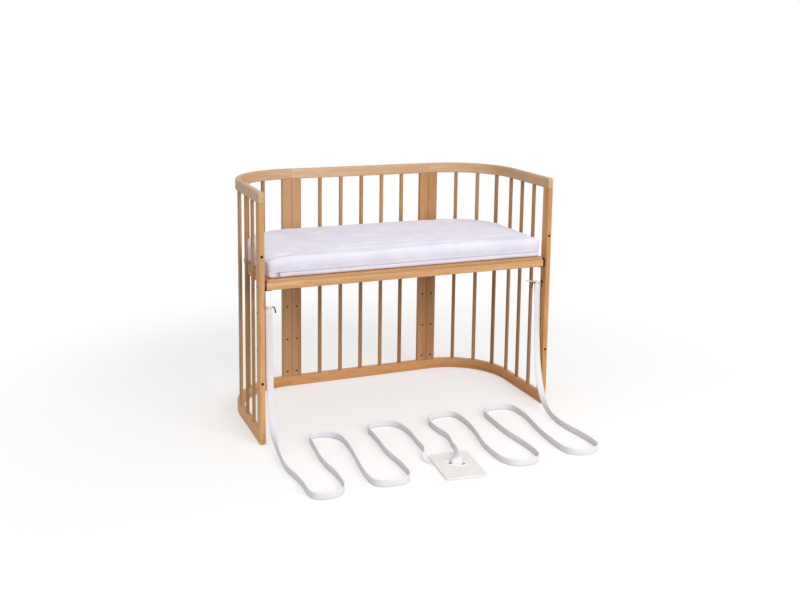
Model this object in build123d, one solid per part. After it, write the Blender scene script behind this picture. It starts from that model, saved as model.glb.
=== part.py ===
from build123d import *
import math
import os

os.makedirs("parts", exist_ok=True)

# A D-shaped bedside crib in solid beech, open along one long side. Millimetres, +Z up.
# The origin is on the floor under the middle of the frame, and the open side faces -Y.

# Frame
frame_length = 940
frame_depth = 457
frame_height = 732
board = 17               # thickness of every rail, post and stile
rail_height = 33
corner_radius = 210      # outer bend of the steam-bent side rails
seam_from_bend = 16      # straight stretch of a side rail between its bend and its butt joint
post_width = 32
rail_round_top = 5.5
rail_edge_ease = 1.8     # small flats on the rail edges that the slats enter
post_round = 2.5
rail_end_ease = 1.2
seam_x = frame_length / 2 - corner_radius - seam_from_bend

# Slats and their mortises
slat_width = 12
slat_thickness = 9
slat_round = 2.5
mortise_depth = 12
glue_gap = 0.1
middle_slat_count = 5
side_slat_count = 6

# Dowels between the rails and the uprights
dowel_radius = 4
dowel_in_rail = 18
dowel_in_post = 20
dowel_from_middle = 8

# Rows of holes that set the height of the bed base
row_first = 51.5
row_pitch = 111
row_count = 4
row_hole_radius = 3.2
front_hole_from_edge = 20

# Threaded sockets in the fronts of the front posts
socket_heights = (181, 549.5)
socket_radius = 4.5
socket_bore = 3.1
socket_depth = 13

# Bolts that hold the three sections together at the seams
seam_bolt_heights = (107, 329, 600)
seam_bolt_radius = 3
seam_head_radius = 5
seam_head_depth = 6
seam_insert_radius = 4.5
seam_insert_length = 13
hex_socket_radius = 2.3
hex_socket_depth = 3

# Bed base: a board on a ladder of beams and battens
base_under = 451         # underside of the beams
beam_height = 21
beam_depth = 32
base_board_thickness = 9
base_side_gap = 7
base_front_inset = 4
beam_round = 2.5
board_round = 2
base_front_corner = 8
rear_beam_half = seam_x + 6
cross_batten_width = 32
vent_length = 132
vent_width = 13
vent_columns = 4
vent_rows = 3
vent_pitch_y = 62
vent_middle_y = -8
vent_from_side = 56       # end of the outer vents to the side of the base

# Angle brackets that carry the bed base, and their bolts
bracket_thickness = 2
bracket_width = 26
bracket_reach = 24
bracket_rise = 24
bracket_corner = 4
back_bracket_width = 58
bolt_radius = 3
bolt_hole_gap = 0.2
bolt_head_radius = 5.3
bolt_head_height = 3
bolt_head_slope = 1.4
button_socket_depth = 1.8
bolt_head_sink = 3.6      # the heads sit below the face of the wood
bolt_head_gap = 0.4
nut_flats = 10
nut_height = 3.2

# Screws from the board into the beams
screw_radius = 2
screw_head_radius = 4
screw_head_height = 2.4
screw_in_beam = 13
front_screw_count = 6
front_screw_from_side = 46
rear_screw_count = 4
rear_screw_from_end = 25

# Mattress
mattress_side_gap = 8
mattress_front_inset = 9
mattress_lift_gap = 0.3
mattress_edge_height = 60
mattress_crown = 5
mattress_crown_reach = 140
crown_shares = (0.4, 0.8, 1)
mattress_top_round = 17
mattress_low_round = 8
mattress_pull_in = 2
mattress_front_corner = 34
mattress_round_steps = 4
core_inset = 6
zip_height = 17
zip_width = 5
zip_proud = 0.6
zip_end_y = 60
puller_from_side = 36
puller_size = (4, 1.6, 15)
puller_round = 1.8
puller_drop = 5
puller_gap = 0.1

# Strap, its hooks and its anchor plate
strap_width = 20
strap_thickness = 1.6
hook_height = 398
hook_radius = 2
hook_arm = 33
hook_bend = 6
hook_tip = 12
hook_in_post = 12
hook_collar_radius = 5
hook_collar_height = 2
hook_from_edge = 20
strap_from_post = 16
strap_loop_gap = 0.3
corner_share = 0.45      # share of the shorter run that a corner's arc may use
tail_length = 30
tail_width = 7
slot_clear_height = 8
plate_length = 162
plate_width = 117
plate_turn = -6
plate_middle = (-4, -326)
plate_under = 2.1
plate_thickness = 3
plate_corner = 9
plate_edge_slope = 0.8
slot_length = 50
slot_width = 13
slot_turn = -27
slot_middle = (-2, -320)
boss_rings = ((0, 3), (7, 2.2))
boss_rise = 0.8

# Strap routes on the floor, from the front plane of the frame, +Y towards the back
left_route = [
    (-441, -95), (-452, -190), (-434, -290), (-441, -388), (-344, -390), (-333, -292),
    (-347, -190), (-337, -92), (-331, 4), (-244, -24), (-243, -122), (-255, -220),
    (-266, -300), (-262, -378), (-156, -384), (-150, -288), (-160, -190), (-150, -95),
    (-153, 8), (-54, 4), (-42, -90), (-50, -150), (-52, -205),
]
right_route = [
    (38, -205), (52, -150), (38, -85), (44, -4), (142, 16), (150, -75), (138, -165),
    (116, -255), (120, -388), (228, -398), (236, -300), (224, -200), (226, -105),
    (232, 0), (338, 8), (344, -90), (326, -185), (316, -280), (319, -388), (424, -394),
    (427, -295), (412, -200), (418, -130),
]


# How the strap drops from a hook: share of the way forward, share of the way down, twist
hang_shape = [
    (0, 0, 0), (0.02, 0.3, 0), (0.1, 0.58, 10), (0.24, 0.78, 28), (0.42, 0.9, 48),
    (0.64, 0.966, 68), (0.84, 0.993, 82), (1, 1, 90),
]

# Stations of the strap by the plate: x, y, lean, way and lift off the floor
under_plate_shape = [
    (-52, -205, 90, (-2, -55), 0), (-54, -222, 84, (-0.2, -1), 0.2), (-60, -240, 55, (-0.35, -1), 0.3),
    (-66, -254, 20, (-0.3, -1), 0.2), (-68, -266, 0, (0, -1), 0.1), (-62, -281.5, 0, (0.34, -0.94), 0.1),
    (-52, -294, 0, (0.45, -0.89), 0.1), (-40, -316.5, 0, (0.67, -0.74), 0.1),
    (-22, -336.5, 0, (0.95, 0.31), 0.1), (-8, -332, 0, (0.45, 0.89), 0.1),
    (-2.5, -321, 0, (0.45, 0.89), 0.1),
]
from_slot_shape = [
    (0, -315, 8, (0.3, 1), 13), (5, -304, 22, (0.4, 1), 13), (12, -289, 42, (0.45, 1), 10),
    (20, -268, 62, (0.4, 1), 7), (27, -247, 78, (0.3, 1), 5.6), (32, -226, 87, (0.24, 1), 2),
    (38, -205, 90, (14, 55), 0),
]


def rail_path(side):
    """Centre line of a side rail, from the seam round the bend to the open front."""
    side_x = side * (frame_length / 2 - board / 2)
    return FilletPolyline(
        (side * seam_x, back_line),
        (side_x, back_line),
        (side_x, front_y),
        radius=corner_radius - board / 2,
    )


front_y = -frame_depth / 2
back_line = frame_depth / 2 - board / 2
post_low = rail_height
post_high = frame_height - rail_height
bed_row = base_under + beam_height / 2
row_heights = [row_first + row_pitch * k for k in range(row_count)]
post_face_x = frame_length / 2 - board
stile_face_y = frame_depth / 2 - board


def rail_section(plane, level):
    """Rail profile: the top rail is well rounded above, every other edge is lightly eased."""
    section = Rectangle(board, rail_height)
    if level == "bottom":
        return plane * chamfer(section.vertices(), rail_edge_ease)
    section = fillet(section.vertices().sort_by(Axis.Y)[2:], rail_round_top)
    return plane * chamfer(section.vertices().sort_by(Axis.Y)[:2], rail_edge_ease)


def slat_blank(width, thickness, rounding, length):
    return extrude(RectangleRounded(width, thickness, rounding), length)


def stand(solid, point, direction, z):
    """Puts an upright solid at a plan point, its local X along the rail."""
    turn = math.degrees(math.atan2(direction.Y, direction.X))
    return Pos(point.X, point.Y, z) * Rot(0, 0, turn) * solid


def side_slat_places(side):
    path = rail_path(side)
    clear = path.length - 2 * post_width
    gap = (clear - side_slat_count * slat_width) / (side_slat_count + 1)
    places = []
    for k in range(side_slat_count):
        along = post_width + gap + slat_width / 2 + k * (gap + slat_width)
        point = path.position_at(along, PositionMode.LENGTH)
        places.append((point, path.tangent_at(along, PositionMode.LENGTH)))
    return places


def middle_slat_places():
    clear = 2 * (seam_x - post_width)
    gap = (clear - middle_slat_count * slat_width) / (middle_slat_count + 1)
    first = -clear / 2 + gap + slat_width / 2
    return [
        (Vector(first + k * (gap + slat_width), back_line), Vector(1, 0))
        for k in range(middle_slat_count)
    ]


slat_places = {
    "left": side_slat_places(-1),
    "middle": middle_slat_places(),
    "right": side_slat_places(1),
}
stile_centres = {
    "left_outer": -seam_x - post_width / 2,
    "left_inner": -seam_x + post_width / 2,
    "right_inner": seam_x - post_width / 2,
    "right_outer": seam_x + post_width / 2,
}
front_post_y = front_y + post_width / 2
front_post_x = frame_length / 2 - board / 2


def dowel_plan(section):
    """Plan points of the dowels that belong to one section of the frame."""
    points = []
    for name, x in stile_centres.items():
        home = "middle" if "inner" in name else name.split("_")[0]
        if home == section:
            points += [(x - dowel_from_middle, back_line), (x + dowel_from_middle, back_line)]
    if section != "middle":
        x = front_post_x if section == "right" else -front_post_x
        points += [(x, front_post_y - dowel_from_middle), (x, front_post_y + dowel_from_middle)]
    return points


def dowel_holes(points):
    """Bores for the dowels at both ends of the uprights."""
    bore = Cylinder(dowel_radius + glue_gap, dowel_in_rail + dowel_in_post)
    lower = post_low + (dowel_in_post - dowel_in_rail) / 2
    upper = post_high - (dowel_in_post - dowel_in_rail) / 2
    return [Pos(x, y, z) * bore for x, y in points for z in (lower, upper)]


def mortises(section):
    pocket = slat_blank(
        slat_width + 2 * glue_gap,
        slat_thickness + 2 * glue_gap,
        slat_round + glue_gap,
        post_high - post_low + 2 * mortise_depth,
    )
    places = slat_places[section]
    return [stand(pocket, point, way, post_low - mortise_depth) for point, way in places]


def make_rails():
    """The six rail pieces, each with its mortises and dowel bores."""
    rails = {}
    for section in ("left", "middle", "right"):
        for level, z in (("bottom", rail_height / 2), ("top", frame_height - rail_height / 2)):
            if section == "middle":
                start = Plane((-seam_x, back_line, z), x_dir=(0, 1, 0), z_dir=(1, 0, 0))
                rail = extrude(rail_section(start, level), 2 * seam_x)
            else:
                side = 1 if section == "right" else -1
                start = Plane((side * seam_x, back_line, z), x_dir=(0, side, 0), z_dir=(side, 0, 0))
                rail = sweep(rail_section(start, level), path=Pos(0, 0, z) * rail_path(side))
                end = rail.faces().sort_by(Axis.Y)[0]
                rail = chamfer(end.edges(), rail_end_ease)
            rails[f"{level}_rail_{section}"] = rail - mortises(section) - dowel_holes(dowel_plan(section))
    return rails


def upright(height):
    return extrude(RectangleRounded(post_width, board, post_round), height)


def across(radius, length, x, y, z, axis):
    """A round bar or bore through (x, y, z) along X or Y."""
    turn = Rot(0, 90, 0) if axis == "X" else Rot(90, 0, 0)
    return Pos(x, y, z) * turn * Cylinder(radius, length)


def make_uprights():
    """Two front posts and four back stiles."""
    height = post_high - post_low
    posts = {}
    for name, side in (("left", -1), ("right", 1)):
        x = side * front_post_x
        post = Pos(x, front_post_y, post_low) * Rot(0, 0, 90) * upright(height)
        hole_y = front_y + front_hole_from_edge
        holes = [across(row_hole_radius, 2 * board, x, hole_y, z, "X") for z in row_heights]
        holes.append(across(bolt_radius + bolt_hole_gap, 2 * board, x, hole_y, bed_row, "X"))
        outer_x = side * frame_length / 2
        head_room = bolt_head_radius + bolt_head_gap
        holes.append(across(head_room, 2 * bolt_head_sink, outer_x, hole_y, bed_row, "X"))
        holes += [
            across(socket_radius, 2 * socket_depth, x, front_y, z, "Y") for z in socket_heights
        ]
        hook_end = side * (post_face_x + hook_in_post / 2)
        hook_y = front_y + hook_from_edge
        holes.append(across(hook_radius, hook_in_post, hook_end, hook_y, hook_height, "X"))
        posts[f"front_post_{name}"] = post - holes - dowel_holes(dowel_plan(name))
    for name, x in stile_centres.items():
        stile = Pos(x, back_line, post_low) * upright(height)
        holes = [across(row_hole_radius, 2 * board, x, back_line, z, "Y") for z in row_heights]
        holes.append(across(bolt_radius + bolt_hole_gap, 2 * board, x, back_line, bed_row, "Y"))
        outer_y = frame_depth / 2
        head_room = bolt_head_radius + bolt_head_gap
        holes.append(across(head_room, 2 * bolt_head_sink, x, outer_y, bed_row, "Y"))
        home = "middle" if "inner" in name else name.split("_")[0]
        posts[f"stile_{name}"] = stile - holes - dowel_holes(dowel_plan(home)) - seam_bores()
    return posts


def make_slats():
    blank = slat_blank(slat_width, slat_thickness, slat_round, post_high - post_low + 2 * mortise_depth)
    slats = {}
    for section, places in slat_places.items():
        for k, (point, way) in enumerate(places, 1):
            slats[f"slat_{section}_{k}"] = stand(blank, point, way, post_low - mortise_depth)
    return slats


def make_dowels():
    length = dowel_in_rail + dowel_in_post
    dowel = Cylinder(dowel_radius, length)
    lower = post_low + (dowel_in_post - dowel_in_rail) / 2
    upper = post_high - (dowel_in_post - dowel_in_rail) / 2
    points = [p for section in slat_places for p in dowel_plan(section)]
    return [Pos(x, y, z) * dowel for x, y in points for z in (lower, upper)]


def seam_bolt_start(side):
    """Outer side edge of the stile that takes the bolt's head; heads face +X at both seams."""
    return side * seam_x + post_width


def seam_bolt(side, z):
    head_x = seam_bolt_start(side)
    shank = post_width + seam_insert_length - seam_head_depth
    shank_x = head_x - seam_head_depth - shank / 2
    head = across(seam_head_radius - bolt_hole_gap, seam_head_depth, head_x - seam_head_depth / 2,
                  back_line, z, "X")
    key = extrude(RegularPolygon(hex_socket_radius, 6), hex_socket_depth)
    key = Pos(head_x - hex_socket_depth, back_line, z) * Rot(0, 90, 0) * key
    return head - key + across(seam_bolt_radius, shank, shank_x, back_line, z, "X")


def seam_insert(side, z):
    x = side * seam_x - seam_insert_length / 2
    sleeve = across(seam_insert_radius, seam_insert_length, x, back_line, z, "X")
    return sleeve - across(seam_bolt_radius, 2 * seam_insert_length, x, back_line, z, "X")


def seam_bores():
    """Counterbore, clearance hole and insert pocket of every seam bolt."""
    bores = []
    for side in (-1, 1):
        seam = side * seam_x
        head_x = seam_bolt_start(side) - seam_head_depth / 2
        for z in seam_bolt_heights:
            bores.append(across(seam_head_radius, seam_head_depth, head_x, back_line, z, "X"))
            shank_x, shank_room = seam + post_width / 2, seam_bolt_radius + bolt_hole_gap
            bores.append(across(shank_room, post_width, shank_x, back_line, z, "X"))
            insert_x = seam - seam_insert_length / 2
            bores.append(across(seam_insert_radius, seam_insert_length, insert_x, back_line, z, "X"))
    return bores


def make_socket_inserts():
    inserts = []
    for x in (-front_post_x, front_post_x):
        for z in socket_heights:
            sleeve = across(socket_radius, socket_depth, x, front_y + socket_depth / 2, z, "Y")
            inserts.append(sleeve - across(socket_bore, 4 * socket_depth, x, front_y, z, "Y"))
    return inserts


def d_outline(inset, front_inset, front_corner):
    """Plan of what lies inside the frame: straight front, square-ish front corners, big back bends."""
    half = post_face_x - inset
    back = stile_face_y - inset
    front = front_y + front_inset
    plan = Pos(0, (front + back) / 2) * Rectangle(2 * half, back - front)
    corners = plan.vertices().sort_by(Axis.Y)
    plan = fillet(corners[2:], corner_radius - board - inset)
    return fillet(plan.vertices().sort_by(Axis.Y)[:2], front_corner)


def make_brackets():
    """Steel angles bolted to the posts, one leg up the wood and one leg under the beam."""
    rise = bracket_rise + bracket_thickness

    def angle(width):
        profile = Polyline(
            (0, 0), (bracket_reach, 0), (bracket_reach, bracket_thickness),
            (bracket_thickness, bracket_thickness), (bracket_thickness, rise), (0, rise), close=True,
        )
        piece = extrude(Plane.XZ * make_face(profile), width / 2, both=True)
        lips = piece.edges().filter_by(Axis.Z).group_by(Axis.X)[-1]
        tops = piece.edges().filter_by(Axis.X).group_by(Axis.Z)[-1]
        return fillet(lips + tops, bracket_corner)

    z = base_under - bracket_thickness
    hole_y = front_y + front_hole_from_edge
    right = Pos(post_face_x, hole_y, z) * Rot(0, 0, 180) * angle(bracket_width)
    left = Pos(-post_face_x, hole_y, z) * angle(bracket_width)
    hole = across(bolt_radius + bolt_hole_gap, 2 * frame_length, 0, hole_y, bed_row, "X")
    front = [left - hole, right - hole]
    back = []
    for side in (-1, 1):
        piece = Pos(side * seam_x, stile_face_y, z) * Rot(0, 0, -90) * angle(back_bracket_width)
        for x in (side * seam_x - post_width / 2, side * seam_x + post_width / 2):
            piece -= across(bolt_radius + bolt_hole_gap, frame_depth, x, stile_face_y, bed_row, "Y")
        back.append(piece)
    return front, back


def make_bracket_bolts():
    """Button-head bolts from outside, with thin nuts on the brackets."""
    length = board - bolt_head_sink + bracket_thickness + nut_height
    head = Pos(0, 0, bolt_head_height / 2) * Cylinder(bolt_head_radius, bolt_head_height)
    head = chamfer(head.edges().group_by(Axis.Z)[-1], bolt_head_slope)
    key = Pos(0, 0, bolt_head_height - button_socket_depth)
    key = key * extrude(RegularPolygon(hex_socket_radius, 6), hex_socket_depth)
    bolt = head - key + Pos(0, 0, -length / 2) * Cylinder(bolt_radius, length)
    nut = extrude(RegularPolygon(nut_flats / 2, 6, major_radius=False), nut_height)
    nut = Pos(0, 0, -length) * (nut - Cylinder(bolt_radius, 4 * nut_height))
    seat_x = frame_length / 2 - bolt_head_sink
    hole_y = front_y + front_hole_from_edge
    places = [
        Pos(seat_x, hole_y, bed_row) * Rot(0, 90, 0),
        Pos(-seat_x, hole_y, bed_row) * Rot(0, -90, 0),
    ]
    for x in stile_centres.values():
        places.append(Pos(x, frame_depth / 2 - bolt_head_sink, bed_row) * Rot(-90, 0, 0))
    return [p * bolt for p in places], [p * nut for p in places]


beam_top = base_under + beam_height
board_top = beam_top + base_board_thickness
base_half = post_face_x - base_side_gap
base_front = front_y + base_front_inset
base_back = stile_face_y - base_side_gap
screw_length = base_board_thickness + screw_in_beam
vent_pitch_x = 2 * (base_half - vent_from_side - vent_length / 2) / (vent_columns - 1)
cross_batten_x = (-vent_pitch_x, 0, vent_pitch_x)


def bar_x(half, y_low, y_high, rounding):
    """A beam along X with its four long edges eased."""
    height = beam_height
    body = Pos(0, (y_low + y_high) / 2, base_under + height / 2) * Box(2 * half, y_high - y_low, height)
    return fillet(body.edges().filter_by(Axis.X), rounding)


def bar_y(x, width, y_low, y_high):
    return Pos(x, (y_low + y_high) / 2, base_under + beam_height / 2) * Box(
        width, y_high - y_low, beam_height
    )


def evenly(reach, count):
    """Evenly spaced places from -reach to reach."""
    return [reach * (2 * k / (count - 1) - 1) for k in range(count)]


def screw_places():
    front = evenly(base_half - front_screw_from_side, front_screw_count)
    rear = evenly(rear_beam_half - rear_screw_from_end, rear_screw_count)
    return [(x, base_front + beam_depth / 2) for x in front] + [
        (x, base_back - beam_depth / 2) for x in rear
    ]


def make_base():
    """Bed base: board, front beam, rear beam and battens, with screws from above."""
    screw_bores = [
        Pos(x, y, board_top - screw_length / 2) * Cylinder(screw_radius, screw_length)
        for x, y in screw_places()
    ]
    sinks = [
        Pos(x, y, board_top - screw_head_height / 2)
        * Cone(screw_radius, screw_head_radius, screw_head_height)
        for x, y in screw_places()
    ]
    plan = d_outline(base_side_gap, base_front_inset, base_front_corner)
    vent = Rectangle(vent_length, vent_width)
    columns = evenly(vent_pitch_x * (vent_columns - 1) / 2, vent_columns)
    rows = evenly(vent_pitch_y * (vent_rows - 1) / 2, vent_rows)
    vents = [Pos(x, vent_middle_y + y) * vent for x in columns for y in rows]
    panel = Pos(0, 0, beam_top) * extrude(plan - vents, base_board_thickness)
    outer = panel.edges().group_by(Axis.Z)[-1].filter_by(lambda e: e.length > vent_length)
    panel = fillet(outer, board_round) - screw_bores - sinks
    front = bar_x(base_half, base_front, base_front + beam_depth, beam_round) - screw_bores
    rear = bar_x(rear_beam_half, base_back - beam_depth, base_back, beam_round) - screw_bores
    inner = base_front + beam_depth
    battens = {}
    for name, x in zip(("left", "middle", "right"), cross_batten_x):
        battens[f"base_batten_{name}"] = bar_y(x, cross_batten_width, inner, base_back - beam_depth)
    bend_start = base_back - (corner_radius - board - base_side_gap)
    for name, side in (("left", -1), ("right", 1)):
        x = side * (base_half - cross_batten_width / 2)
        battens[f"base_edge_{name}"] = bar_y(x, cross_batten_width, inner, bend_start)
    screws = [a + b for a, b in zip(screw_bores, sinks)]
    return panel, front, rear, battens, screws


def mattress_sections():
    """Height above the board and inset of each section of the mattress, bottom to crown."""
    low, top = mattress_low_round, mattress_top_round
    steps = []
    for k in range(mattress_round_steps):
        a = math.radians(90 * k / (mattress_round_steps - 1))
        steps.append((low * (1 - math.cos(a)), low * (1 - math.sin(a))))
    steps.append((zip_height, mattress_pull_in))
    for k in range(mattress_round_steps):
        a = math.radians(90 * k / (mattress_round_steps - 1))
        steps.append((mattress_edge_height - top * (1 - math.sin(a)), top * (1 - math.cos(a))))
    for share in crown_shares:
        inset = top + share * mattress_crown_reach
        rise = mattress_crown * (1 - (1 - share) ** 2)
        steps.append((mattress_edge_height + rise, inset))
    return steps


def make_mattress():
    """Foam core in a sewn cover, with a zip round the front and the sides."""
    floor = board_top + mattress_lift_gap
    faces = []
    for z, inset in mattress_sections():
        corner = max(mattress_front_corner - inset, mattress_low_round / 2)
        plan = d_outline(mattress_side_gap + inset, mattress_front_inset + inset, corner)
        faces.append(Pos(0, 0, floor + z) * plan)
    form = loft(faces, ruled=True)
    inside = d_outline(
        mattress_side_gap + core_inset,
        mattress_front_inset + core_inset,
        mattress_front_corner - core_inset,
    )
    core = Pos(0, 0, floor + core_inset / 2) * extrude(inside, mattress_edge_height - core_inset)
    core = fillet(core.edges().group_by(Axis.Z)[-1], mattress_top_round - core_inset)
    cover = form - core
    band_outer = d_outline(
        mattress_side_gap + mattress_pull_in - zip_proud,
        mattress_front_inset + mattress_pull_in - zip_proud,
        mattress_front_corner,
    )
    band = Pos(0, 0, floor + zip_height - zip_width / 2) * extrude(band_outer, zip_width)
    reach = zip_end_y - front_y
    front_zone = Pos(0, front_y + reach / 2, floor + zip_height) * Box(frame_length, reach, 4 * zip_width)
    zip_band = (band & front_zone) - form
    puller_y = front_y + mattress_front_inset - puller_gap - puller_size[1] / 2
    puller_z = floor + zip_height - puller_drop
    puller_x = puller_from_side + mattress_side_gap - post_face_x
    puller = Pos(puller_x, puller_y, puller_z) * Box(*puller_size)
    puller = fillet(puller.edges().filter_by(Axis.Y), puller_round)
    return core, cover, zip_band, puller


def ribbon(stations, start_way, end_way):
    """A flat strap through stations of (x, y, z, width direction)."""
    centres = [Vector(*station[:3]) for station in stations]
    faces = []
    for k, station in enumerate(stations):
        if k == 0:
            way = Vector(*start_way)
        elif k == len(stations) - 1:
            way = Vector(*end_way)
        else:
            way = (centres[k + 1] - centres[k]).normalized() + (centres[k] - centres[k - 1]).normalized()
        plane = Plane(origin=centres[k], x_dir=station[3], z_dir=way)
        faces.append(plane * Rectangle(strap_width, strap_thickness))
    return loft(faces, ruled=True)


def lie(x, y, lean, way, lift):
    """A station on the floor: lean 90 stands the strap on edge, lean 0 lays it flat."""
    a = math.radians(lean)
    length = math.hypot(*way)
    z = (strap_width * math.sin(a) + strap_thickness * math.cos(a)) / 2 + lift
    wide = (way[1] / length * math.cos(a), -way[0] / length * math.cos(a), math.sin(a))
    return (x, front_y + y, z, wide)


def corner_radii(points):
    """The largest arc that each corner of a route allows."""
    radii = []
    for a, b, c in zip(points, points[1:], points[2:]):
        u, v = Vector(*b) - Vector(*a), Vector(*c) - Vector(*b)
        half_turn = math.radians(u.get_angle(v)) / 2
        radii.append(corner_share * min(u.length, v.length) / math.tan(half_turn))
    return radii


def floor_strap(route, name):
    """A stretch that stands on edge on the floor."""
    points = [(x, front_y + y) for x, y in route]
    radii = corner_radii(points)
    path = Pos(0, 0, strap_width / 2) * FilletPolyline(*points, radius=radii)
    start = Plane(origin=path @ 0, x_dir=(0, 0, 1), z_dir=path % 0)
    band = sweep(start * Rectangle(strap_width, strap_thickness), path=path)
    ideal = strap_width * strap_thickness * path.length
    print(f"{name}: length {path.length:.0f}, volume ratio {band.volume / ideal:.4f}")
    print("  radii", [round(r) for r in radii])
    return band, path.length


def sewn_loop(x):
    """The strap's end, sewn round the arm of a hook."""
    inner = hook_radius + strap_loop_gap
    hook_y = front_y + hook_from_edge
    ring = across(inner + strap_thickness, strap_width, x, hook_y, hook_height, "X")
    return ring - across(inner, 2 * strap_width, x, hook_y, hook_height, "X")


def hanging_strap(x, foot, heading):
    """The strap from its loop down to the floor, twisting on to its edge."""
    y = front_y + hook_from_edge
    top = hook_height - hook_radius - strap_loop_gap - strap_thickness / 2
    low = strap_width / 2
    stations = []
    for forward, down, twist in hang_shape:
        a = math.radians(twist)
        stations.append((
            x + (foot[0] - x) * forward,
            y + (front_y + foot[1] - y) * forward,
            top + (low - top) * down,
            (math.cos(a), 0, math.sin(a)),
        ))
    return ribbon(stations, (0, 0, -1), (*heading, 0))


def plate_straps():
    """The strap as it turns flat and runs under the plate, and as it comes up through the slot."""
    under = [lie(*station) for station in under_plate_shape]
    enter = ribbon(under, (*under_plate_shape[0][3], 0), (*under_plate_shape[-1][3], 0))
    across_slot = (math.cos(math.radians(slot_turn)), math.sin(math.radians(slot_turn)), 0)
    sx, sy = slot_middle[0], front_y + slot_middle[1]
    rise = [(sx, sy, plate_under, across_slot), (sx, sy, slot_clear_height, across_slot)]
    rise += [lie(*station) for station in from_slot_shape]
    leave = ribbon(rise, (0, 0, 1), (*from_slot_shape[-1][3], 0))
    return enter, leave


def strap_tail(x):
    """The loose end left by the sewing, turned inwards above the right hook."""
    hook_y = front_y + hook_from_edge
    z = hook_height + hook_radius + strap_loop_gap + strap_thickness / 2
    length = tail_length + strap_width
    return Pos(x - tail_length / 2, hook_y, z) * Box(length, tail_width, strap_thickness)


def make_hook(side):
    """Screw hook: collar against the post, an arm for the loop and a tip turned down."""
    y = front_y + hook_from_edge
    x = side * (post_face_x + hook_in_post)
    arm_end = side * (post_face_x - hook_arm)
    path = FilletPolyline(
        (x, y, hook_height), (arm_end, y, hook_height),
        (arm_end - side * hook_bend / 2, y, hook_height - hook_bend - hook_tip), radius=hook_bend,
    )
    rod = sweep(Plane(origin=path @ 0, z_dir=path % 0) * Circle(hook_radius), path=path)
    collar_x = side * (post_face_x - hook_collar_height / 2)
    collar = across(hook_collar_radius, hook_collar_height, collar_x, y, hook_height, "X")
    return rod + collar


def make_plate():
    """Moulded anchor plate with a slot for the strap and raised rings round it."""
    mx, my = plate_middle[0], front_y + plate_middle[1]
    sx, sy = slot_middle[0], front_y + slot_middle[1]
    outline = RectangleRounded(plate_width, plate_length, plate_corner)
    outline = Pos(mx, my) * Rot(0, 0, plate_turn) * outline
    body = Pos(0, 0, plate_under) * extrude(outline, plate_thickness)
    body = chamfer(body.edges().group_by(Axis.Z)[-1], plate_edge_slope)
    place = Pos(sx, sy, plate_under + plate_thickness) * Rot(0, 0, slot_turn)
    for offset, width in boss_rings:
        inner = slot_width + 2 * offset
        length = slot_length + 2 * offset
        ring = SlotOverall(length + 2 * width, inner + 2 * width) - SlotOverall(length, inner)
        body += place * extrude(ring, boss_rise)
    opening = SlotOverall(slot_length, slot_width)
    return body - place * extrude(opening, 4 * plate_thickness, both=True)


def write(name, shape):
    """One STEP file for a node; a list of solids is a group in one node."""
    if isinstance(shape, (list, tuple)):
        shape = Compound(children=[s if isinstance(s, Solid) else s.solid() for s in shape])
    export_step(shape, f"parts/{name}.step")


for name, shape in {**make_rails(), **make_uprights(), **make_slats()}.items():
    write(name, shape)
write("rail_dowels", make_dowels())
write("seam_bolts", [seam_bolt(side, z) for side in (-1, 1) for z in seam_bolt_heights])
write("seam_inserts", [seam_insert(side, z) for side in (-1, 1) for z in seam_bolt_heights])
write("socket_inserts", make_socket_inserts())

front_brackets, back_brackets = make_brackets()
write("base_brackets_front", front_brackets)
write("base_brackets_back", back_brackets)
bracket_bolts, bracket_nuts = make_bracket_bolts()
write("bracket_bolts", bracket_bolts)
write("bracket_nuts", bracket_nuts)

panel, front_beam, rear_beam, battens, board_screws = make_base()
write("base_board", panel)
write("base_front_beam", front_beam)
write("base_rear_beam", rear_beam)
for name, batten in battens.items():
    write(name, batten)
write("board_screws", board_screws)

core, cover, zip_band, puller = make_mattress()
write("mattress_core", core)
write("mattress_cover", cover)
write("mattress_zip", zip_band)
write("zip_puller", puller)

write("strap_hook_left", make_hook(-1))
write("strap_hook_right", make_hook(1))
left_band, left_length = floor_strap(left_route, "left floor strap")
right_band, right_length = floor_strap(right_route, "right floor strap")
write("strap_floor_left", left_band)
write("strap_floor_right", right_band)
strap_x = post_face_x - strap_from_post
for name, side, route in (("left", -1, left_route), ("right", 1, right_route[::-1])):
    heading = (route[1][0] - route[0][0], route[1][1] - route[0][1])
    hanging = hanging_strap(side * strap_x, route[0], heading)
    loop = sewn_loop(side * strap_x)
    if name == "right":
        loop += strap_tail(strap_x)
    write(f"strap_hang_{name}", loop + hanging)
enter, leave = plate_straps()
write("strap_under_plate", enter)
write("strap_from_slot", leave)
write("strap_plate", make_plate())
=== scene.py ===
import math

import bmesh
import bpy
from mathutils import Matrix, Vector, noise


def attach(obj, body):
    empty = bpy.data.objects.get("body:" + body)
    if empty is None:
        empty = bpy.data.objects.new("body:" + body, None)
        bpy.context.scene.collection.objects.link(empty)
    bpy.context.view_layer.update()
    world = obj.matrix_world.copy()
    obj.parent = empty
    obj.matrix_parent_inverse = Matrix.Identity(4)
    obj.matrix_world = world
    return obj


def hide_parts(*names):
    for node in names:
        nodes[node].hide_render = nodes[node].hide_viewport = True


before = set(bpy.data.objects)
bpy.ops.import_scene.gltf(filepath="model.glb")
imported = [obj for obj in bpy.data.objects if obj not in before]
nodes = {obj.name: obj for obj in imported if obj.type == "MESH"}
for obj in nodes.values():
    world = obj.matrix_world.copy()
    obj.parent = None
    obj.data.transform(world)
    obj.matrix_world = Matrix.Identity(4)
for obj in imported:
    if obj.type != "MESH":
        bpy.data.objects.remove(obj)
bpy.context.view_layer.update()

# The open side of the crib faces -Y. All lengths are in metres.
frontY = -0.2285
floorSize = 9


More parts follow.
